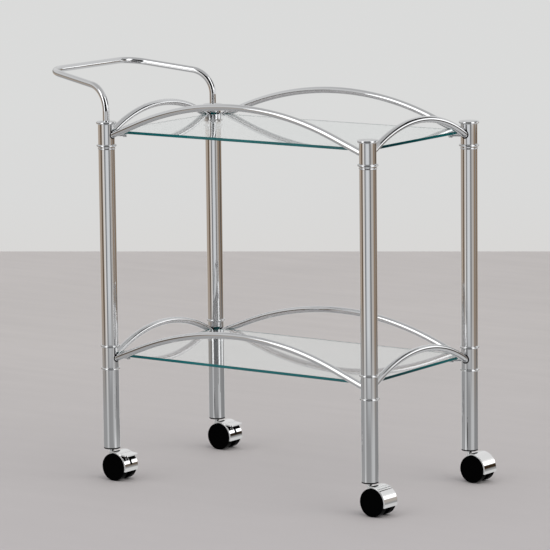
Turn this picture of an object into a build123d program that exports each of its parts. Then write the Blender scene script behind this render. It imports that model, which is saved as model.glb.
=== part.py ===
"""Two-tier glass and chrome service trolley on four hooded twin-wheel casters.

Millimetres.  X runs along the trolley with the push handle at -X, Y across it, Z up.
The origin is on the floor under the middle of the overall length and width.
"""
from build123d import *
import math
import os

# ---------------------------------------------------------------- driving dimensions
POST_SPACING_X = 560.0      # between post axes, along the trolley
POST_SPACING_Y = 326.0      # between post axes, across it
POST_R = 15.0               # outer radius of every post tube and sleeve
POST_WALL = 1.5
TIER_PITCH = 405.0          # lower shelf level to upper shelf level
LEG_BOTTOM_Z = 58.0
LOWER_RING_Z = 203.0        # bead between leg tube and lower sleeve
SLEEVE_PITCH = 41.0         # from a sleeve's lower bead to its upper bead
UPPER_RING_Z = LOWER_RING_Z + TIER_PITCH
MIDDLE_RING_Z = LOWER_RING_Z + SLEEVE_PITCH
CAP_Z = UPPER_RING_Z + SLEEVE_PITCH

BEAD_R = 18.25              # outer radius of the upper beads and the cap rims
LOW_BEAD_R = 17.8           # middle and lower beads
BEAD_HALF = 2.2             # half the height of a bead
CAP_HALF = 2.6              # half the height of a cap's rim
NECK_R = 15.25              # band under the upper bead
SMALL_BEAD_R = 16.0         # small bead that ends the band
SMALL_BEAD_HALF = 1.6
SMALL_BEAD_DROP = 5.3       # its centre below the upper bead's
SPIGOT_R = 13.45            # part of a ring that sits inside the tubes
SPIGOT_HEIGHT = 6.0
DOME_RISE = 1.0             # crown of the post caps

ROD_R = 4.0                 # tie rod through each post
ROD_BORE_R = 4.2
ROD_TOP_Z = CAP_Z - 3.0
ROD_BOTTOM_Z = 91.0

RAIL_R = 6.0                # rails and handle are 12 mm tube
RAIL_WALL = 1.2
LONG_RAIL_APEX = 63.0       # apex of a long rail above the rail datum
LONG_RAIL_ARC_R = 560.0
LONG_RAIL_ARC_HALF = 208.0  # its arc turns into a straight run this far from mid span
SHORT_RAIL_APEX = 41.0
SHORT_RAIL_ARC_R = 294.0
RAIL_END_GAP = 9.5          # rail ends stop this far from the post axis
RAIL_SEAT_R = 6.15          # socket for a rail in the joint block
RAIL_HOLE_R = 7.4           # wider hole for it in the sleeve
RAIL_DATUM_Z = UPPER_RING_Z + 20.0      # near the middle of the upper sleeves

BLOCK_R = 13.4
BLOCK_LOW = -17.5           # joint block, from the rail datum
BLOCK_HIGH = 12.0

GLASS_T = 5.0
GLASS_BOTTOM = 2.0          # underside of a shelf above the rail datum
GLASS_EDGE_GAP_X = 7.0      # from the post axes to the glass edge
GLASS_EDGE_GAP_Y = 7.0
GLASS_NOTCH_R = 29.0        # round notch about each post
GLASS_ARRIS = 0.6

PIN_R = 2.5                 # diagonal shelf support pins
PIN_START = 12.0            # from the post axis
PIN_END = 35.5
PAD_R = 4.0
PAD_START = 30.0
PAD_END = 36.5
PIN_DROP = GLASS_BOTTOM - PAD_R         # pin axis from the rail datum

HANDLE_REACH = 162.0        # crossbar beyond the post axes
HANDLE_HALF_WIDTH = 120.0
HANDLE_Z = 731.0
HANDLE_ELBOW_Z = 709.0
HANDLE_BEND_R = 45.0
HANDLE_FOOT_Z = RAIL_DATUM_Z + BLOCK_HIGH

WHEEL_R = 25.0
WHEEL_INNER_Y = 5.8
WHEEL_OUTER_Y = 19.5
WHEEL_EDGE_R = 1.6
WHEEL_DISH_R = 21.0
WHEEL_DISH_DEPTH = 0.7
AXLE_R = 3.0
AXLE_HALF = 17.5
AXLE_CLEARANCE = 0.05
CASTER_TRAIL = 16.8         # wheel axis beyond the stem axis
HOOD_OUTER_R = 28.2
HOOD_INNER_R = 26.0
HOOD_HALF_WIDTH = 18.6
HOOD_ROUND = 0.7            # rounding of its outer rims
HOOD_LOW_ANGLE = -13.5
HOOD_HIGH_ANGLE = 108.0
WEB_HALF = 5.4
WEB_BOTTOM = -7.0
HUB_R = 9.0
BOSS_R = 5.4
BOSS_TOP_Z = 50.5
STEM_R = 4.0
STEM_BORE_R = 4.06
STEM_BOTTOM_Z = 24.0
STEM_TOP_Z = 82.0

PLUG_LIP_R = 14.8
PLUG_LIP_T = 2.5
PLUG_R = 13.4
PLUG_TOP_Z = LEG_BOTTOM_Z + 45.0

SLOT_HALF = 2.8             # slot for the brake arm in the hood and its web
SLOT_ANGLES = (10.0, 62.5)
SLOT_INNER_R = 11.0
WINDOW_HALF = 17.1          # wide window that the brake tab closes from above
WINDOW_ANGLES = (28.0, 62.5)
WINDOW_INNER_R = 22.5       # the web is cut back to here under the window
PIVOT = (11.7, 13.9)        # brake pivot from the wheel axis, X and Z
PIVOT_R = 2.0
PIVOT_BOSS_R = 3.4
TAB_INNER = (13.4, 23.9)    # middle of the tab's ends, from the wheel axis
TAB_OUTER = (30.6, 22.3)
TAB_T = 2.2
TAB_HALF_WIDTH = 16.8
TAB_CORNER_R = 4.0
ARM_HALF = 2.2
ARM_T = 4.0

# Casters rest where they were last rolled: degrees from +X, anticlockwise seen from above.
CASTER_TURN = {"front_left": -2.0, "front_right": -4.0, "back_right": -3.0, "back_left": -2.0}

# ---------------------------------------------------------------- derived places
HALF_X = POST_SPACING_X / 2
HALF_Y = POST_SPACING_Y / 2


def caster_reach(radius, half_width, rounding, angle):
    """How far a rounded disc on the wheel axis reaches from the post axis, at an angle from its trail."""
    along = math.cos(math.radians(angle))
    across = math.sin(math.radians(angle))
    corner = (radius - rounding) * abs(along) + (half_width - rounding) * abs(across)
    return CASTER_TRAIL * along + corner + rounding


def furthest(names, radius, half_width, rounding, heading):
    """Greatest reach of the named casters towards a heading, in degrees from +X."""
    return max(
        caster_reach(radius, half_width, rounding, heading - CASTER_TURN[name]) for name in names
    )


FAR_REACH = furthest(("front_right", "back_right"), HOOD_OUTER_R, HOOD_HALF_WIDTH, HOOD_ROUND, 0)
FRONT_REACH = furthest(("front_left", "front_right"), WHEEL_R, WHEEL_OUTER_Y, WHEEL_EDGE_R, -90)
BACK_REACH = furthest(("back_left", "back_right"), WHEEL_R, WHEEL_OUTER_Y, WHEEL_EDGE_R, 90)
SHIFT_X = (HANDLE_REACH + RAIL_R - FAR_REACH) / 2       # middle of the posts from the origin
SHIFT_Y = (FRONT_REACH - BACK_REACH) / 2
POSTS = {
    "front_left": (-1, -1),
    "front_right": (1, -1),
    "back_right": (1, 1),
    "back_left": (-1, 1),
}
HANDLE_POSTS = ("front_left", "back_left")
TIERS = {"upper": 0.0, "lower": -TIER_PITCH}


def post_xy(name):
    """Axis of a post."""
    side_x, side_y = POSTS[name]
    return SHIFT_X + side_x * HALF_X, SHIFT_Y + side_y * HALF_Y


def save(shape, name, rgb):
    """Write one named sub-part."""
    shape.label = name
    shape.color = Color(*rgb)
    export_step(shape, f"parts/{name}.step")


CHROME = (0.85, 0.86, 0.88)
BLACK = (0.03, 0.03, 0.035)
CLEAR = (0.75, 0.9, 0.88)
STEEL = (0.6, 0.6, 0.62)


# ---------------------------------------------------------------- small helpers
def rod(radius, low, high):
    """Upright cylinder between two heights on the Z axis."""
    return Pos(0, 0, (low + high) / 2) * Cylinder(radius, high - low)


def tube(radius, wall, low, high):
    """Upright tube between two heights on the Z axis."""
    return rod(radius, low, high) - rod(radius - wall, low - 1, high + 1)


def cross_rod(radius, low, high):
    """Cylinder along Y between two values of Y."""
    return Pos(0, (low + high) / 2, 0) * Rot(90, 0, 0) * Cylinder(radius, high - low)


def sector(radius, low_angle, high_angle, half_width):
    """Pie slice about the Y axis; angles run from +X towards +Z."""
    start = (radius * math.cos(math.radians(low_angle)), radius * math.sin(math.radians(low_angle)))
    end = (radius * math.cos(math.radians(high_angle)), radius * math.sin(math.radians(high_angle)))
    middle_angle = math.radians((low_angle + high_angle) / 2)
    middle = (radius * math.cos(middle_angle), radius * math.sin(middle_angle))
    outline = Line((0, 0), start) + ThreePointArc(start, middle, end) + Line(end, (0, 0))
    face = Plane.XZ * make_face(outline)
    return extrude(face, half_width, both=True)


def radial_rod(radius, start, end, azimuth, slope=0.0):
    """Cylinder that leaves the Z axis in a given direction."""
    length = end - start
    along_x = Pos((start + end) / 2, 0, 0) * Rot(0, 90, 0) * Cylinder(radius, length)
    return Rot(0, 0, azimuth) * Rot(0, -slope, 0) * along_x


# ---------------------------------------------------------------- rails
class Arch:
    """Centreline of a rail over the X axis: an arc with a straight run at each end."""

    def __init__(self, half_span, arc_r, arc_half, apex):
        self.half_span = half_span
        self.arc_r = arc_r
        self.arc_half = arc_half
        self.apex = apex
        self.slope = math.asin(arc_half / arc_r)

    def height(self, distance):
        """Height above the rail datum, at a distance from mid span."""
        on_arc = min(distance, self.arc_half)
        drop = self.arc_r - math.sqrt(self.arc_r**2 - on_arc**2)
        return self.apex - drop - (distance - on_arc) * math.tan(self.slope)


LONG_ARCH = Arch(HALF_X, LONG_RAIL_ARC_R, LONG_RAIL_ARC_HALF, LONG_RAIL_APEX)
SHORT_ARCH = Arch(HALF_Y, SHORT_RAIL_ARC_R, HALF_Y - POST_R, SHORT_RAIL_APEX)


def rail(arch):
    """Arched tube over the X axis, symmetric about the YZ plane, datum at z = 0."""
    reach = arch.half_span - RAIL_END_GAP
    end_z = arch.height(reach)
    turn_z = arch.height(arch.arc_half)
    arc = ThreePointArc((-arch.arc_half, 0, turn_z), (0, 0, arch.apex), (arch.arc_half, 0, turn_z))
    first = Line((-reach, 0, end_z), (-arch.arc_half, 0, turn_z))
    last = Line((arch.arc_half, 0, turn_z), (reach, 0, end_z))
    path = Wire([first, arc, last])
    start = Plane(origin=path @ 0, z_dir=path % 0)
    section = start * (Circle(RAIL_R) - Circle(RAIL_R - RAIL_WALL))
    return sweep(section, path=path)


def build_rails():
    """Eight rails: four round each tier."""
    long_rail = rail(LONG_ARCH)
    short_rail = Rot(0, 0, 90) * rail(SHORT_ARCH)
    for tier, lift in TIERS.items():
        z = RAIL_DATUM_Z + lift
        save(Pos(SHIFT_X, SHIFT_Y - HALF_Y, z) * long_rail, f"{tier}_rail_front", CHROME)
        save(Pos(SHIFT_X, SHIFT_Y + HALF_Y, z) * long_rail, f"{tier}_rail_back", CHROME)
        save(Pos(SHIFT_X - HALF_X, SHIFT_Y, z) * short_rail, f"{tier}_rail_handle_end", CHROME)
        save(Pos(SHIFT_X + HALF_X, SHIFT_Y, z) * short_rail, f"{tier}_rail_far_end", CHROME)


def rail_cutters(radius, start, end):
    """Cutters along both rails of a joint whose rails leave towards +X and +Y, datum at z = 0."""
    cutters = []
    for azimuth, arch in ((0, LONG_ARCH), (90, SHORT_ARCH)):
        axis_z = arch.height(arch.half_span)
        cutter = radial_rod(radius, start, end, azimuth, math.degrees(arch.slope))
        cutters.append(Pos(0, 0, axis_z) * cutter)
    return cutters


# ---------------------------------------------------------------- posts
def joint_sleeve():
    """Short tube with two rail holes and a pin hole; rails leave towards +X and +Y."""
    low = -20.0 + BEAD_HALF
    high = SLEEVE_PITCH - 20.0 - CAP_HALF
    sleeve = tube(POST_R, POST_WALL, low, high)
    for cutter in rail_cutters(RAIL_HOLE_R, 5.0, 30.0):
        sleeve -= cutter
    sleeve -= Pos(0, 0, PIN_DROP) * radial_rod(PIN_R + 0.1, 5.0, 30.0, 45)
    return sleeve


def joint_block():
    """Solid core that the rail ends and the support pin are seated in."""
    block = rod(BLOCK_R, BLOCK_LOW, BLOCK_HIGH) - rod(ROD_BORE_R, BLOCK_LOW - 1, BLOCK_HIGH + 1)
    for cutter in rail_cutters(RAIL_SEAT_R, RAIL_END_GAP - 3.6, 30.0):
        block -= cutter
    block -= Pos(0, 0, PIN_DROP) * radial_rod(PIN_R, PIN_START, 30.0, 45)
    return block


def bead(radius, half_height):
    """Disc with a fully rounded edge, centred on z = 0."""
    core = Cylinder(radius - half_height, 2 * half_height)
    return core + Torus(radius - half_height, half_height)


def post_ring(radius, with_neck):
    """Rounded bead with a spigot each way; the upper one has a neck and a small bead below."""
    low = -BEAD_HALF
    ring = bead(radius, BEAD_HALF)
    if with_neck:
        ring += rod(NECK_R, -SMALL_BEAD_DROP, 0)
        ring += Pos(0, 0, -SMALL_BEAD_DROP) * bead(SMALL_BEAD_R, SMALL_BEAD_HALF)
        low = -SMALL_BEAD_DROP - SMALL_BEAD_HALF
    ring += rod(SPIGOT_R, low - SPIGOT_HEIGHT, BEAD_HALF)
    ring -= rod(ROD_BORE_R, low - 20, 20)
    return ring


def post_cap(pierced):
    """Rounded rim with a low crown; the handle posts' caps are pierced by the handle."""
    cap = bead(BEAD_R, CAP_HALF)
    base_r = BEAD_R - CAP_HALF
    crown_r = (base_r**2 + DOME_RISE**2) / (2 * DOME_RISE)
    crown = Pos(0, 0, CAP_HALF + DOME_RISE - crown_r) * Sphere(crown_r)
    cap += crown & rod(base_r, 0, CAP_HALF + DOME_RISE)
    cap += rod(SPIGOT_R, -CAP_HALF - 5.0, 0)
    if pierced:
        cap -= rod(RAIL_R + 0.05, -20, 20)
    else:
        cap -= rod(ROD_BORE_R, -20, -1.5)
    return cap


def turned_to_centre(shape, name):
    """Mirror a piece of the front left joint, whose rails leave towards +X and +Y, to another post."""
    side_x, side_y = POSTS[name]
    if side_x > 0:
        shape = shape.mirror(Plane.YZ)
    if side_y > 0:
        shape = shape.mirror(Plane.XZ)
    return shape


def group(shapes):
    """Separate solids in one node."""
    return Compound(children=list(shapes))


def build_posts():
    """Posts: leg tube, ring, sleeve, ring, tube, ring, sleeve and cap, on one tie rod."""
    sleeve = joint_sleeve()
    block = joint_block()
    places = {name: post_xy(name) for name in POSTS}
    for name, (x, y) in places.items():
        leg = tube(POST_R, POST_WALL, LEG_BOTTOM_Z, LOWER_RING_Z - BEAD_HALF)
        save(Pos(x, y, 0) * leg, f"leg_tube_{name}", CHROME)
        upper_low = MIDDLE_RING_Z + BEAD_HALF
        upper_high = UPPER_RING_Z - SMALL_BEAD_DROP - SMALL_BEAD_HALF
        save(Pos(x, y, 0) * tube(POST_R, POST_WALL, upper_low, upper_high), f"post_tube_{name}", CHROME)
        for tier, lift in TIERS.items():
            placed = Pos(x, y, RAIL_DATUM_Z + lift) * turned_to_centre(sleeve, name)
            save(placed, f"{tier}_sleeve_{name}", CHROME)
        cap = post_cap(name in HANDLE_POSTS)
        save(Pos(x, y, CAP_Z) * cap, f"cap_{name}", CHROME)
    rings = {
        "upper_post_rings": (UPPER_RING_Z, post_ring(BEAD_R, True)),
        "middle_post_rings": (MIDDLE_RING_Z, post_ring(LOW_BEAD_R, False)),
        "lower_post_rings": (LOWER_RING_Z, post_ring(LOW_BEAD_R, False)),
    }
    for node, (z, ring) in rings.items():
        save(group(Pos(x, y, z) * ring for x, y in places.values()), node, CHROME)
    blocks = []
    for lift in TIERS.values():
        for name, (x, y) in places.items():
            blocks.append(Pos(x, y, RAIL_DATUM_Z + lift) * turned_to_centre(block, name))
    save(group(blocks), "joint_blocks", BLACK)
    tie_rod = rod(ROD_R, ROD_BOTTOM_Z, ROD_TOP_Z)
    save(group(Pos(x, y, 0) * tie_rod for x, y in places.values()), "tie_rods", STEEL)


def build_feet():
    """Black end plugs of the posts and the stems of the casters."""
    plug = rod(PLUG_LIP_R, LEG_BOTTOM_Z - PLUG_LIP_T, LEG_BOTTOM_Z)
    plug = fillet(plug.edges().group_by(Axis.Z)[0], 0.8)
    plug += rod(PLUG_R, LEG_BOTTOM_Z - 1, PLUG_TOP_Z)
    plug -= rod(STEM_R, LEG_BOTTOM_Z - 10, STEM_TOP_Z + 0.5)
    plug -= rod(ROD_R, ROD_BOTTOM_Z - 0.5, PLUG_TOP_Z + 1)
    stem = rod(STEM_R, STEM_BOTTOM_Z + 0.3, STEM_TOP_Z)
    places = [post_xy(name) for name in POSTS]
    save(group(Pos(x, y, 0) * plug for x, y in places), "foot_plugs", BLACK)
    save(group(Pos(x, y, 0) * stem for x, y in places), "caster_stems", CHROME)


# ---------------------------------------------------------------- shelves and handle
def build_shelves():
    """Glass plates with round notches at the posts, on padded pins."""
    half_x = HALF_X - GLASS_EDGE_GAP_X
    half_y = HALF_Y - GLASS_EDGE_GAP_Y
    outline = Rectangle(2 * half_x, 2 * half_y)
    for side_x, side_y in POSTS.values():
        outline -= Pos(side_x * HALF_X, side_y * HALF_Y) * Circle(GLASS_NOTCH_R)
    plate = extrude(outline, GLASS_T)
    edges = plate.edges().group_by(Axis.Z)
    plate = chamfer(edges[0] + edges[-1], GLASS_ARRIS)
    pin = Pos(0, 0, PIN_DROP) * radial_rod(PIN_R, PIN_START, PIN_END, 45)
    pad = Pos(0, 0, PIN_DROP) * (
        radial_rod(PAD_R, PAD_START, PAD_END, 45) - radial_rod(PIN_R, PAD_START - 1, PIN_END, 45)
    )
    for tier, lift in TIERS.items():
        z = RAIL_DATUM_Z + lift
        save(Pos(SHIFT_X, SHIFT_Y, z + GLASS_BOTTOM) * plate, f"{tier}_glass_shelf", CLEAR)
        pins = []
        pads = []
        for name in POSTS:
            x, y = post_xy(name)
            pins.append(Pos(x, y, z) * turned_to_centre(pin, name))
            pads.append(Pos(x, y, z) * turned_to_centre(pad, name))
        save(group(pins), f"{tier}_shelf_pins", CHROME)
        save(group(pads), f"{tier}_shelf_pads", CLEAR)


def build_handle():
    """One bent tube: up out of both caps, outwards and inwards, and across."""
    path = FilletPolyline(
        (0, -HALF_Y, HANDLE_FOOT_Z),
        (0, -HALF_Y, HANDLE_ELBOW_Z),
        (-HANDLE_REACH, -HANDLE_HALF_WIDTH, HANDLE_Z),
        (-HANDLE_REACH, HANDLE_HALF_WIDTH, HANDLE_Z),
        (0, HALF_Y, HANDLE_ELBOW_Z),
        (0, HALF_Y, HANDLE_FOOT_Z),
        radius=HANDLE_BEND_R,
    )
    start = Plane(origin=path @ 0, z_dir=path % 0)
    section = start * (Circle(RAIL_R) - Circle(RAIL_R - RAIL_WALL))
    save(Pos(SHIFT_X - HALF_X, SHIFT_Y, 0) * sweep(section, path=path), "push_handle", CHROME)


# ---------------------------------------------------------------- casters
def wheel(side):
    """Plain black wheel with a shallow dished face, on the wheel axis; side is -1 or 1."""
    body = cross_rod(WHEEL_R, WHEEL_INNER_Y, WHEEL_OUTER_Y)
    body = fillet(body.edges(), WHEEL_EDGE_R)
    body -= cross_rod(WHEEL_DISH_R, WHEEL_OUTER_Y - WHEEL_DISH_DEPTH, WHEEL_OUTER_Y + 1)
    body -= cross_rod(AXLE_R + AXLE_CLEARANCE, WHEEL_INNER_Y - 1, AXLE_HALF + 0.4)
    return body if side > 0 else body.mirror(Plane.XZ)


def hood(braked):
    """Chromed housing: fender over both wheels, web between them and stem boss."""
    fender = sector(HOOD_OUTER_R, HOOD_LOW_ANGLE, HOOD_HIGH_ANGLE, HOOD_HALF_WIDTH)
    fender -= cross_rod(HOOD_INNER_R, -30, 30)
    rim = [e for e in fender.edges() if abs(abs(e.center().Y) - HOOD_HALF_WIDTH) < 0.01]
    outer_rim = [e for e in rim if e.geom_type == GeomType.CIRCLE and e.radius > HOOD_OUTER_R - 0.1]
    fender = fillet(outer_rim, HOOD_ROUND)
    web = cross_rod(HOOD_INNER_R + 0.6, -WEB_HALF, WEB_HALF)
    web &= Pos(2, 0, WEB_BOTTOM + 30) * Box(54, 20, 60)
    body = fender + web + cross_rod(HUB_R, -WEB_HALF, WEB_HALF)
    body += Pos(-CASTER_TRAIL, 0, -WHEEL_R) * rod(BOSS_R, WHEEL_R - 5, BOSS_TOP_Z)
    body -= Pos(-CASTER_TRAIL, 0, -WHEEL_R) * rod(STEM_BORE_R, STEM_BOTTOM_Z, BOSS_TOP_Z + 5)
    body -= cross_rod(AXLE_R, -10, 10)
    if braked:
        slot = sector(HOOD_OUTER_R + 2, SLOT_ANGLES[0], SLOT_ANGLES[1], SLOT_HALF)
        body -= slot - cross_rod(SLOT_INNER_R, -10, 10)
        window = sector(HOOD_OUTER_R + 2, WINDOW_ANGLES[0], WINDOW_ANGLES[1], WINDOW_HALF)
        body -= window - cross_rod(WINDOW_INNER_R, -30, 30)
        body -= Pos(PIVOT[0], 0, PIVOT[1]) * cross_rod(PIVOT_R + 0.05, -10, 10)
    return body


def brake_lever():
    """Wide tab flush with the hood, on a narrow arm that turns on its own pivot in the web."""
    run = math.dist(TAB_INNER, TAB_OUTER)
    tilt = math.degrees(math.atan2(TAB_OUTER[1] - TAB_INNER[1], TAB_OUTER[0] - TAB_INNER[0]))
    middle = ((TAB_INNER[0] + TAB_OUTER[0]) / 2, (TAB_INNER[1] + TAB_OUTER[1]) / 2)
    tab = Box(run, 2 * TAB_HALF_WIDTH, TAB_T)
    outer_corners = tab.edges().filter_by(Axis.Z).group_by(Axis.X)[-1]
    tab = fillet(outer_corners, TAB_CORNER_R)
    tab = Pos(middle[0], 0, middle[1]) * Rot(0, -tilt, 0) * tab
    arm_top = (middle[0] - 1.5, middle[1])
    arm_run = math.dist(PIVOT, arm_top)
    arm_tilt = math.degrees(math.atan2(arm_top[1] - PIVOT[1], arm_top[0] - PIVOT[0]))
    arm = Box(arm_run, 2 * ARM_HALF, ARM_T)
    arm = Pos((PIVOT[0] + arm_top[0]) / 2, 0, (PIVOT[1] + arm_top[1]) / 2) * Rot(0, -arm_tilt, 0) * arm
    barrel = cross_rod(PIVOT_BOSS_R, -ARM_HALF, ARM_HALF) + cross_rod(PIVOT_R, -WEB_HALF, WEB_HALF)
    return tab + arm + Pos(PIVOT[0], 0, PIVOT[1]) * barrel


def build_casters():
    """Four casters, all trailing roughly towards +X; the handle-end pair has brakes."""
    plain_hood = hood(False)
    braked_hood = hood(True)
    axle = cross_rod(AXLE_R, -AXLE_HALF, AXLE_HALF)
    for name in POSTS:
        x, y = post_xy(name)
        place = Pos(x, y, WHEEL_R) * Rot(0, 0, CASTER_TURN[name]) * Pos(CASTER_TRAIL, 0, 0)
        braked = name in HANDLE_POSTS
        save(place * (braked_hood if braked else plain_hood), f"caster_hood_{name}", CHROME)
        save(place * axle, f"caster_axle_{name}", STEEL)
        save(place * wheel(-1), f"front_wheel_{name}", BLACK)
        save(place * wheel(1), f"back_wheel_{name}", BLACK)
        if braked:
            save(place * brake_lever(), f"brake_lever_{name}", CHROME)


os.makedirs("parts", exist_ok=True)
build_rails()
build_posts()
build_feet()
build_shelves()
build_handle()
build_casters()
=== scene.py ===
"""Spa trolley cart: materials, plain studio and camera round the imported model.

Everything is in metres in the model's own frame: +X runs along the trolley away from the push
handle, +Y across it to the back, +Z up, with the origin on the floor.
"""

import math

import bpy
from mathutils import Matrix, Vector

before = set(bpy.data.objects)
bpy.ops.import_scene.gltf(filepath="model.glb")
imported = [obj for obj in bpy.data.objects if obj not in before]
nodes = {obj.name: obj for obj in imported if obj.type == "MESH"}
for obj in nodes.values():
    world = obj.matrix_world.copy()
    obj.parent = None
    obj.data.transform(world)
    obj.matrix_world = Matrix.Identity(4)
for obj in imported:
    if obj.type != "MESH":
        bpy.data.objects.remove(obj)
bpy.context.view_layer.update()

# Camera: a long lens a little above the upper shelf, from the front right
CAMERA_PLACE = (3.7357, -5.2992, 1.3951)
CAMERA_HEADING = 34.947
CAMERA_DOWN = 8.998
CAMERA_ROLL = -0.640
CAMERA_LENS = 238.4
SENSOR = 36.0

GLASS_HALF_WIDTH = 0.156

# Wall and floor: painted shade darkens and warms the wall towards its foot, and darkens the floor towards
# the camera
WALL_GREY = (0.705, 0.708, 0.703)
WALL_SHADE_TONES = ((0.0, (0.690, 0.681, 0.668)), (0.45, (0.697, 0.697, 0.692)), (1.0, WALL_GREY))
WALL_SHADE_FADE = (-0.155, -0.11)    # sine of the view's elevation at the wall's foot and above it
FLOOR_GREY = (0.562, 0.528, 0.510)
FLOOR_NEAR_SHADE = (0.535, 0.503, 0.500)
FLOOR_SHADE_FADE = (1.4, -0.9)       # metres beyond the trolley where the painted near shade starts and ends
FLOOR_EDGE = (Vector((-2.140, 1.877, 0.0)), Vector((-0.929, 2.596, 0.0)))
FLOOR_REACH = 14.0

# Cards round the trolley that only shiny surfaces see
CARD_RADIUS = 2.5
CARD_LOW = -3.0                # the cards also stand in for the floor that the chrome mirrors
CARD_HIGH = 1.05
CARD_STEP = 3.0                # degrees of arc per strip of a card
NEAR_DARK_ARC = (76, 120)      # a close dark card for the upper rails and the handle
NEAR_DARK_RADIUS = 1.15
NEAR_DARK_HEIGHTS = (0.98, 1.7)


# ---------------------------------------------------------------- node helpers


def new_material(name):
    """An empty node material and a short maker for its nodes."""
    material = bpy.data.materials.new(name)
    material.use_nodes = True
    tree = material.node_tree
    tree.nodes.clear()

    def make(kind, **inputs):
        node = tree.nodes.new(kind)
        for key, value in inputs.items():
            set_input(tree, node, key.replace("_", " "), value)
        return node

    return material, tree, make


def set_input(tree, node, name, value):
    """Links value to the input if it is a socket, else sets it."""
    socket = node.inputs[name]
    if isinstance(value, bpy.types.NodeSocket):
        tree.links.new(value, socket)
    else:
        socket.default_value = value


def finish_material(tree, shader, volume=None):
    output = tree.nodes.new("ShaderNodeOutputMaterial")
    tree.links.new(shader.outputs[0], output.inputs["Surface"])
    if volume is not None:
        tree.links.new(volume.outputs[0], output.inputs["Volume"])


def ramp(tree, factor, stops):
    """Colour ramp with (position, colour) stops; returns its colour socket."""
    node = tree.nodes.new("ShaderNodeValToRGB")
    band = node.color_ramp
    while len(band.elements) < len(stops):
        band.elements.new(0.5)
    for element, (position, colour) in zip(band.elements, stops):
        element.position = position
        element.color = (*colour, 1.0) if len(colour) == 3 else colour
    tree.links.new(factor, node.inputs["Fac"])
    return node.outputs["Color"]


def grey(value):
    return (value, value, value)


def fit_range(make, value, start, end, low=0.0, high=1.0):
    """Value mapped so that start gives low and end gives high, and clamped between them."""
    node = make("ShaderNodeMapRange", Value=value)
    node.inputs["From Min"].default_value = start
    node.inputs["From Max"].default_value = end
    node.inputs["To Min"].default_value = low
    node.inputs["To Max"].default_value = high
    return node.outputs["Result"]


def noise(make, scale, detail, stretch=(1.0, 1.0, 1.0)):
    """Noise over the object's own coordinates, stretched along some axes."""
    coordinates = make("ShaderNodeTexCoord")
    mapping = make("ShaderNodeMapping", Vector=coordinates.outputs["Object"], Scale=stretch)
    texture = make(
        "ShaderNodeTexNoise",
        Vector=mapping.outputs["Vector"],
        Scale=scale,
        Detail=detail,
        Roughness=0.55,
    )
    return texture.outputs["Fac"]


def mix_colour(make, tree, factor, first, second):
    """Colour that goes from first to second as factor goes from 0 to 1."""
    mix = make("ShaderNodeMix")
    mix.data_type = "RGBA"
    tree.links.new(factor, mix.inputs[0])
    for socket, value in ((mix.inputs[6], first), (mix.inputs[7], second)):
        if isinstance(value, bpy.types.NodeSocket):
            tree.links.new(value, socket)
        else:
            socket.default_value = (*value, 1.0)
    return mix.outputs[2]


# ---------------------------------------------------------------- materials


def chrome_material(name, colour, smooth, rough):
    """Bright plate: faint polishing haze, and a slight waviness from the drawn tube."""
    material, tree, make = new_material(name)
    haze = noise(make, 38.0, 5.0)
    wave = noise(make, 26.0, 1.0, (1.0, 1.0, 0.25))
    bump = make("ShaderNodeBump", Strength=0.02, Distance=0.0003, Height=wave)
    shader = make(
        "ShaderNodeBsdfPrincipled",
        Base_Color=(*colour, 1.0),
        Metallic=1.0,
        Roughness=fit_range(make, haze, 0.3, 0.75, smooth, rough),
        Normal=bump.outputs["Normal"],
    )
    finish_material(tree, shader)
    return material


def slope_mask(tree, make, axis, low, high):
    """0 to 1 as a face turns towards an axis: its normal's part along it goes from low to high."""
    geometry = make("ShaderNodeNewGeometry")
    split = make("ShaderNodeSeparateXYZ", Vector=geometry.outputs["Normal"])
    size = make("ShaderNodeMath")
    size.operation = "ABSOLUTE"
    tree.links.new(split.outputs[axis], size.inputs[0])
    return fit_range(make, size.outputs[0], low, high)


def glass_material():
    """Clear float glass whose polished edges show teal; the end edges carry painted shade, darkest at the
    front.
    """
    material, tree, make = new_material("glass")
    flat = slope_mask(tree, make, "Z", 0.75, 0.85)
    end_on = slope_mask(tree, make, "X", 0.5, 0.9)
    depth = noise(make, 9.0, 3.0)
    place = make("ShaderNodeTexCoord")
    across = make("ShaderNodeSeparateXYZ", Vector=place.outputs["Object"])
    back = fit_range(make, across.outputs["Y"], -GLASS_HALF_WIDTH, GLASS_HALF_WIDTH)
    side_teal = ramp(tree, depth, ((0.35, (0.001, 0.135, 0.145)), (0.65, (0.003, 0.19, 0.20))))
    # Painted shade on the end edges: dark at the front, lighter teal towards the back
    end_shade_stops = ((0.0, (0.0, 0.022, 0.028)), (0.5, (0.0, 0.070, 0.076)), (1.0, (0.008, 0.20, 0.205)))
    shaded_end_teal = ramp(tree, back, end_shade_stops)
    edge = mix_colour(make, tree, end_on, side_teal, shaded_end_teal)
    colour = mix_colour(make, tree, flat, edge, (1.0, 1.0, 1.0))
    shader = make(
        "ShaderNodeBsdfPrincipled",
        Base_Color=colour,
        Roughness=0.0,
        IOR=1.5,
        Transmission_Weight=fit_range(make, flat, 0.0, 1.0, 0.04, 1.0),
    )
    volume = make("ShaderNodeVolumeAbsorption", Color=(0.10, 0.83, 0.80, 1.0), Density=3.0)
    finish_material(tree, shader, volume)
    return material


def clear_plastic_material():
    material, tree, make = new_material("clear_plastic")
    cloud = noise(make, 240.0, 3.0)
    shader = make(
        "ShaderNodeBsdfPrincipled",
        Base_Color=(0.93, 0.95, 0.95, 1.0),
        Roughness=fit_range(make, cloud, 0.0, 1.0, 0.16, 0.34),
        IOR=1.46,
        Transmission_Weight=0.97,
    )
    finish_material(tree, shader)
    return material


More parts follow.
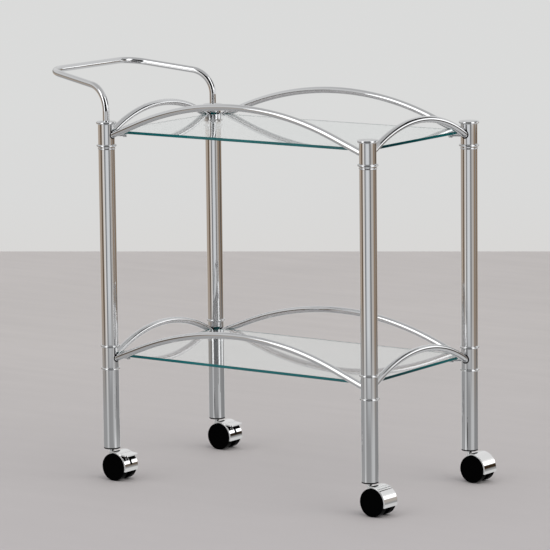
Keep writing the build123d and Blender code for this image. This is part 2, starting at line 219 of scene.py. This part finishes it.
def moulded_black_material(name, colour, smooth, rough, grain):
    """Moulded plastic: satin, with a fine spark-eroded grain."""
    material, tree, make = new_material(name)
    grains = noise(make, 1400.0, 3.0)
    patches = noise(make, 60.0, 3.0)
    bump = make("ShaderNodeBump", Strength=grain, Distance=0.0001, Height=grains)
    shader = make(
        "ShaderNodeBsdfPrincipled",
        Base_Color=(*colour, 1.0),
        Roughness=fit_range(make, patches, 0.0, 1.0, smooth, rough),
        Normal=bump.outputs["Normal"],
        Specular_IOR_Level=0.012,
    )
    finish_material(tree, shader)
    return material


MATERIALS = {
    "chrome": chrome_material("chrome", (0.64, 0.645, 0.655), 0.01, 0.035),
    "glass": glass_material(),
    "clear_plastic": clear_plastic_material(),
    "black_wheel": moulded_black_material("black_wheel", (0.0006, 0.0006, 0.0007), 0.42, 0.55, 0.2),
    "black_plastic": moulded_black_material("black_plastic", (0.0008, 0.0008, 0.0009), 0.36, 0.48, 0.2),
    "steel": chrome_material("steel", (0.5, 0.5, 0.51), 0.18, 0.32),
}
# The cast hoods and their pedals get a brighter copy of the same chrome as the tubes: painted light
HOOD_CHROME_LIT = chrome_material("hood_chrome_lit", (0.82, 0.82, 0.82), 0.02, 0.06)


def dress_nodes():
    """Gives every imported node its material; the clear glass casts no shadow."""
    for name, node in nodes.items():
        on_hood = name.startswith(("caster_hood_", "brake_lever_"))
        for slot in node.material_slots:
            slot.material = HOOD_CHROME_LIT if on_hood else MATERIALS[slot.material.name.split(".")[0]]
        if name.endswith("_glass_shelf"):
            node.visible_shadow = False
            node.visible_diffuse = False


# ---------------------------------------------------------------- studio


def stage_mesh(name, points, faces, material):
    mesh = bpy.data.meshes.new(name)
    mesh.from_pydata(points, [], faces)
    mesh.materials.append(material)
    thing = bpy.data.objects.new(name, mesh)
    bpy.context.scene.collection.objects.link(thing)
    return thing


def floor_material():
    """Pale studio floor with faint cloudy patches and long faint streaks, and painted shade that darkens it
    towards the camera.
    """
    material, tree, make = new_material("studio_floor")
    square_on = (0.0, 0.0, math.radians(-CAMERA_HEADING))
    broad = noise(make, 2.2, 4.0)
    place = make("ShaderNodeTexCoord").outputs["Object"]
    mapping = make("ShaderNodeMapping", Vector=place, Rotation=square_on, Scale=(0.35, 2.6, 1.0))
    streaks = make("ShaderNodeTexNoise", Vector=mapping.outputs["Vector"], Scale=9.0, Detail=5.0)
    blend = make("ShaderNodeMath")
    blend.operation = "ADD"
    tree.links.new(broad, blend.inputs[0])
    tree.links.new(streaks.outputs["Fac"], blend.inputs[1])
    pale = tuple(c * 1.035 for c in FLOOR_GREY)
    deep = tuple(c * 0.965 for c in FLOOR_GREY)
    clouds = ramp(tree, fit_range(make, blend.outputs[0], 0.0, 2.0), ((0.35, deep), (0.65, pale)))
    turned = make("ShaderNodeMapping", Vector=place, Rotation=square_on)
    depth = make("ShaderNodeSeparateXYZ", Vector=turned.outputs["Vector"])
    # Painted shade: the floor darkens towards the camera
    near_shade = fit_range(make, depth.outputs["Y"], *FLOOR_SHADE_FADE, 0.0, 0.9)
    colour = mix_colour(make, tree, near_shade, clouds, FLOOR_NEAR_SHADE)
    shader = make("ShaderNodeBsdfPrincipled", Base_Color=colour, Roughness=0.85, Specular_IOR_Level=0.2)
    finish_material(tree, shader)
    return material


def build_floor():
    """Flat floor that ends at a straight edge behind the trolley."""
    start, end = FLOOR_EDGE
    along = (end - start).normalized()
    front = Vector((along.y, -along.x, 0.0))
    middle = (start + end) / 2
    corners = [
        middle - along * FLOOR_REACH,
        middle + along * FLOOR_REACH,
        middle + along * FLOOR_REACH + front * FLOOR_REACH,
        middle - along * FLOOR_REACH + front * FLOOR_REACH,
    ]
    floor = stage_mesh("floor", corners, [(0, 3, 2, 1)], floor_material())
    floor.visible_glossy = False


def light_card_material(name, tones):
    """Even glow with a tone at each of a few heights, in metres."""
    material, tree, make = new_material(name)
    coordinates = make("ShaderNodeTexCoord")
    split = make("ShaderNodeSeparateXYZ", Vector=coordinates.outputs["Object"])
    height = fit_range(make, split.outputs["Z"], CARD_LOW, CARD_HIGH)
    stops = [((z - CARD_LOW) / (CARD_HIGH - CARD_LOW), colour) for z, colour in tones]
    glow = make("ShaderNodeEmission", Color=ramp(tree, height, stops))
    finish_material(tree, glow)
    return material


def even_card_material(name, colour):
    material, tree, make = new_material(name)
    finish_material(tree, make("ShaderNodeEmission", Color=(*colour, 1.0)))
    return material


def for_reflections_only(thing):
    thing.visible_camera = False
    thing.visible_diffuse = False
    thing.visible_transmission = False
    thing.visible_volume_scatter = False
    thing.visible_shadow = False


def compass(azimuth):
    """Unit vector on the floor at an azimuth from the camera's side, + to its right."""
    angle = math.radians(CAMERA_HEADING - 90.0 + azimuth)
    return Vector((math.cos(angle), math.sin(angle), 0.0))


def card(name, start, end, material, low, high, radius=CARD_RADIUS):
    """Upright curved card round the trolley, from azimuth start to end."""
    strips = max(1, round((end - start) / CARD_STEP))
    points = []
    for i in range(strips + 1):
        spot = compass(start + (end - start) * i / strips) * radius
        points.append((spot.x, spot.y, low))
        points.append((spot.x, spot.y, high))
    faces = [(2 * i, 2 * i + 2, 2 * i + 3, 2 * i + 1) for i in range(strips)]
    for_reflections_only(stage_mesh(name, points, faces, material))


def tone(value, warmth=0.0):
    """Grey as the eye sees it, 0 to 1, with red raised and blue lowered by warmth."""
    linear = [max(0.0, value * (1.0 + k * warmth)) ** 2.2 for k in (1.0, 0.0, -1.0)]
    return tuple(linear)


# Heights on the cards: deep floor tone up to, floor tone from, to, level tone from, to, top tone
TONE_HEIGHTS = (-0.60, -0.45, -0.32, -0.06, 0.38, 0.50)
DEEP_FLOOR = tone(0.72)
DEEP_RIGHT = tone(0.84)
FRONT_SHADE = tone(0.15)

LEVEL_CARDS = (
    # name, start, end, deep floor tone, floor tone, level tone, top tone
    ("far_left_tan", -150, -92, DEEP_FLOOR, tone(0.68), tone(0.70, 0.09), tone(0.60, 0.04)),
    ("left_brown", -92, -70, DEEP_FLOOR, tone(0.68), tone(0.38, 0.18), tone(0.45, 0.05)),
    ("left_tan", -70, -62, DEEP_FLOOR, tone(0.74), tone(0.74, 0.06), tone(0.70)),
    ("left_pale", -62, -42, grey(1.6), tone(0.86), tone(0.96, 0.02), grey(2.0)),
    ("left_grey", -42, -36, DEEP_FLOOR, tone(0.70), tone(0.76, 0.01), tone(0.50)),
    ("left_line", -36, -27, tone(0.30), tone(0.68), tone(0.46, -0.05), tone(0.25)),
    ("front_grey", -27, -16, FRONT_SHADE, tone(0.64), tone(0.84), tone(0.15)),
    ("front_white", -16, 9, FRONT_SHADE, tone(0.66), tone(0.96, -0.01), tone(0.12)),
    ("front_pale", 9, 21, FRONT_SHADE, tone(0.68), tone(0.90), tone(0.15)),
    ("front_line", 21, 34, tone(0.30), tone(0.82), tone(0.50), tone(0.25)),
    ("right_grey", 34, 39, DEEP_RIGHT, tone(0.86), tone(0.72), tone(0.60)),
    ("right_pale", 39, 64, grey(1.6), tone(0.86), tone(0.80, 0.03), grey(2.0)),
    ("right_tan", 64, 78, DEEP_RIGHT, tone(0.66), tone(0.60, 0.12), tone(0.60)),
    ("right_brown", 78, 91, DEEP_RIGHT, tone(0.61), tone(0.52, 0.16), tone(0.75)),
    ("right_beige", 91, 98.5, DEEP_RIGHT, tone(0.61), tone(0.68, 0.04), grey(1.6)),
    ("right_dark", 98.5, 102, DEEP_RIGHT, tone(0.62), tone(0.16, 0.30), grey(2.0)),
    ("far_right_gap", 102, 104, DEEP_RIGHT, tone(0.62), tone(0.40, 0.10), grey(2.0)),
    ("far_right_dark", 104, 115, DEEP_RIGHT, tone(0.62), tone(0.18, 0.20), grey(2.0)),
    ("far_right_tan", 115, 122, DEEP_RIGHT, tone(0.62), tone(0.56, 0.14), grey(1.4)),
    ("far_right_brown", 122, 150, DEEP_RIGHT, tone(0.60), tone(0.52, 0.14), tone(0.80)),
)

RAISED_CARDS = (
    # name, start, end, low, high, tone
    ("left_soft_box", -66, -40, CARD_HIGH, 3.6, grey(2.4)),
    ("camera_dark", -36, 30, CARD_HIGH, 3.2, grey(0.02)),
    ("right_soft_box", 36, 66, CARD_HIGH, 3.6, grey(2.2)),
    ("far_right_soft_box", 91, 125, CARD_HIGH, 1.3, grey(1.0)),
)


def build_cards():
    """Studio cards and soft boxes that only the shiny parts see."""
    for name, start, end, deep_tone, floor_tone, level_tone, top_tone in LEVEL_CARDS:
        tones = (deep_tone, floor_tone, floor_tone, level_tone, level_tone, top_tone)
        material = light_card_material(name, list(zip(TONE_HEIGHTS, tones)))
        card(name, start, end, material, CARD_LOW, CARD_HIGH)
    for name, start, end, low, high, glow in RAISED_CARDS:
        card(name, start, end, even_card_material(name, glow), low, high)
    near_dark = even_card_material("near_dark", grey(0.03))
    card("near_dark", *NEAR_DARK_ARC, near_dark, *NEAR_DARK_HEIGHTS, NEAR_DARK_RADIUS)
    reach = CARD_RADIUS * 1.2
    corners = [(-reach, -reach, CARD_LOW), (reach, -reach, CARD_LOW), (reach, reach, CARD_LOW)]
    corners.append((-reach, reach, CARD_LOW))
    under = even_card_material("floor_mirrored", DEEP_FLOOR)
    for_reflections_only(stage_mesh("floor_mirrored", corners, [(0, 1, 2, 3)], under))


def soft_sun(name, azimuth, elevation, spread, strength, colour):
    """Broad even light for the floor and the plastics; the cards make the chrome's reflections."""
    lift = math.radians(elevation)
    away = compass(azimuth) * math.cos(lift) + Vector((0.0, 0.0, math.sin(lift)))
    data = bpy.data.lights.new(name, "SUN")
    data.angle = math.radians(spread)
    data.energy = strength
    data.color = colour
    lamp = bpy.data.objects.new(name, data)
    lamp.location = away * 4.0
    lamp.rotation_mode = "QUATERNION"
    lamp.rotation_quaternion = away.to_track_quat("Z", "Y")
    lamp.visible_glossy = False
    lamp.visible_transmission = False
    bpy.context.scene.collection.objects.link(lamp)


# The room that shiny surfaces see past the cards, by the sine of the elevation
ROOM_TONES = ((0.0, WALL_GREY), (0.24, WALL_GREY), (0.34, grey(0.85)), (0.62, grey(0.82)), (0.85, grey(0.6)))
EVEN_LIGHT = (0.62, 0.63, 0.65, 1.0)

SUNS = (
    # name, azimuth, elevation, spread, strength, colour
    ("key", 55, 50, 50.0, 0.75, (1.0, 0.985, 0.965)),
    ("fill", -60, 60, 70.0, 0.40, (0.97, 0.985, 1.0)),
)


def build_world():
    """Pale wall for the camera, dim even room for reflections and bounced light."""
    world = bpy.data.worlds.new("studio")
    world.use_nodes = True
    bpy.context.scene.world = world
    tree = world.node_tree
    tree.nodes.clear()

    def background(colour):
        node = tree.nodes.new("ShaderNodeBackground")
        set_input(tree, node, "Color", colour)
        return node.outputs[0]

    def choose(ray, otherwise, chosen):
        node = tree.nodes.new("ShaderNodeMixShader")
        tree.links.new(ray, node.inputs[0])
        tree.links.new(otherwise, node.inputs[1])
        tree.links.new(chosen, node.inputs[2])
        return node.outputs[0]

    rays = tree.nodes.new("ShaderNodeLightPath").outputs
    direction = tree.nodes.new("ShaderNodeTexCoord")
    split = tree.nodes.new("ShaderNodeSeparateXYZ")
    tree.links.new(direction.outputs["Generated"], split.inputs["Vector"])
    rise = split.outputs["Z"]
    fade = tree.nodes.new("ShaderNodeMapRange")
    tree.links.new(rise, fade.inputs["Value"])
    fade.inputs["From Min"].default_value, fade.inputs["From Max"].default_value = WALL_SHADE_FADE
    # The wall the camera sees carries painted shade, darker and warmer towards its foot
    wall = background(ramp(tree, fade.outputs["Result"], WALL_SHADE_TONES))
    room = background(ramp(tree, rise, ROOM_TONES))
    even = background(EVEN_LIGHT)
    light = choose(rays["Is Diffuse Ray"], room, even)
    output = tree.nodes.new("ShaderNodeOutputWorld")
    tree.links.new(choose(rays["Is Camera Ray"], light, wall), output.inputs["Surface"])


def build_studio():
    build_world()
    build_floor()
    build_cards()
    for sun in SUNS:
        soft_sun(*sun)


def build_camera():
    data = bpy.data.cameras.new("camera")
    data.sensor_width = SENSOR
    data.lens = CAMERA_LENS
    data.clip_end = 60.0
    camera = bpy.data.objects.new("camera", data)
    camera.matrix_world = (
        Matrix.Translation(CAMERA_PLACE)
        @ Matrix.Rotation(math.radians(CAMERA_HEADING), 4, "Z")
        @ Matrix.Rotation(math.radians(90.0 - CAMERA_DOWN), 4, "X")
        @ Matrix.Rotation(math.radians(CAMERA_ROLL), 4, "Z")
    )
    bpy.context.scene.collection.objects.link(camera)
    bpy.context.scene.camera = camera


dress_nodes()
build_studio()
build_camera()
bpy.context.scene.view_settings.view_transform = "Standard"
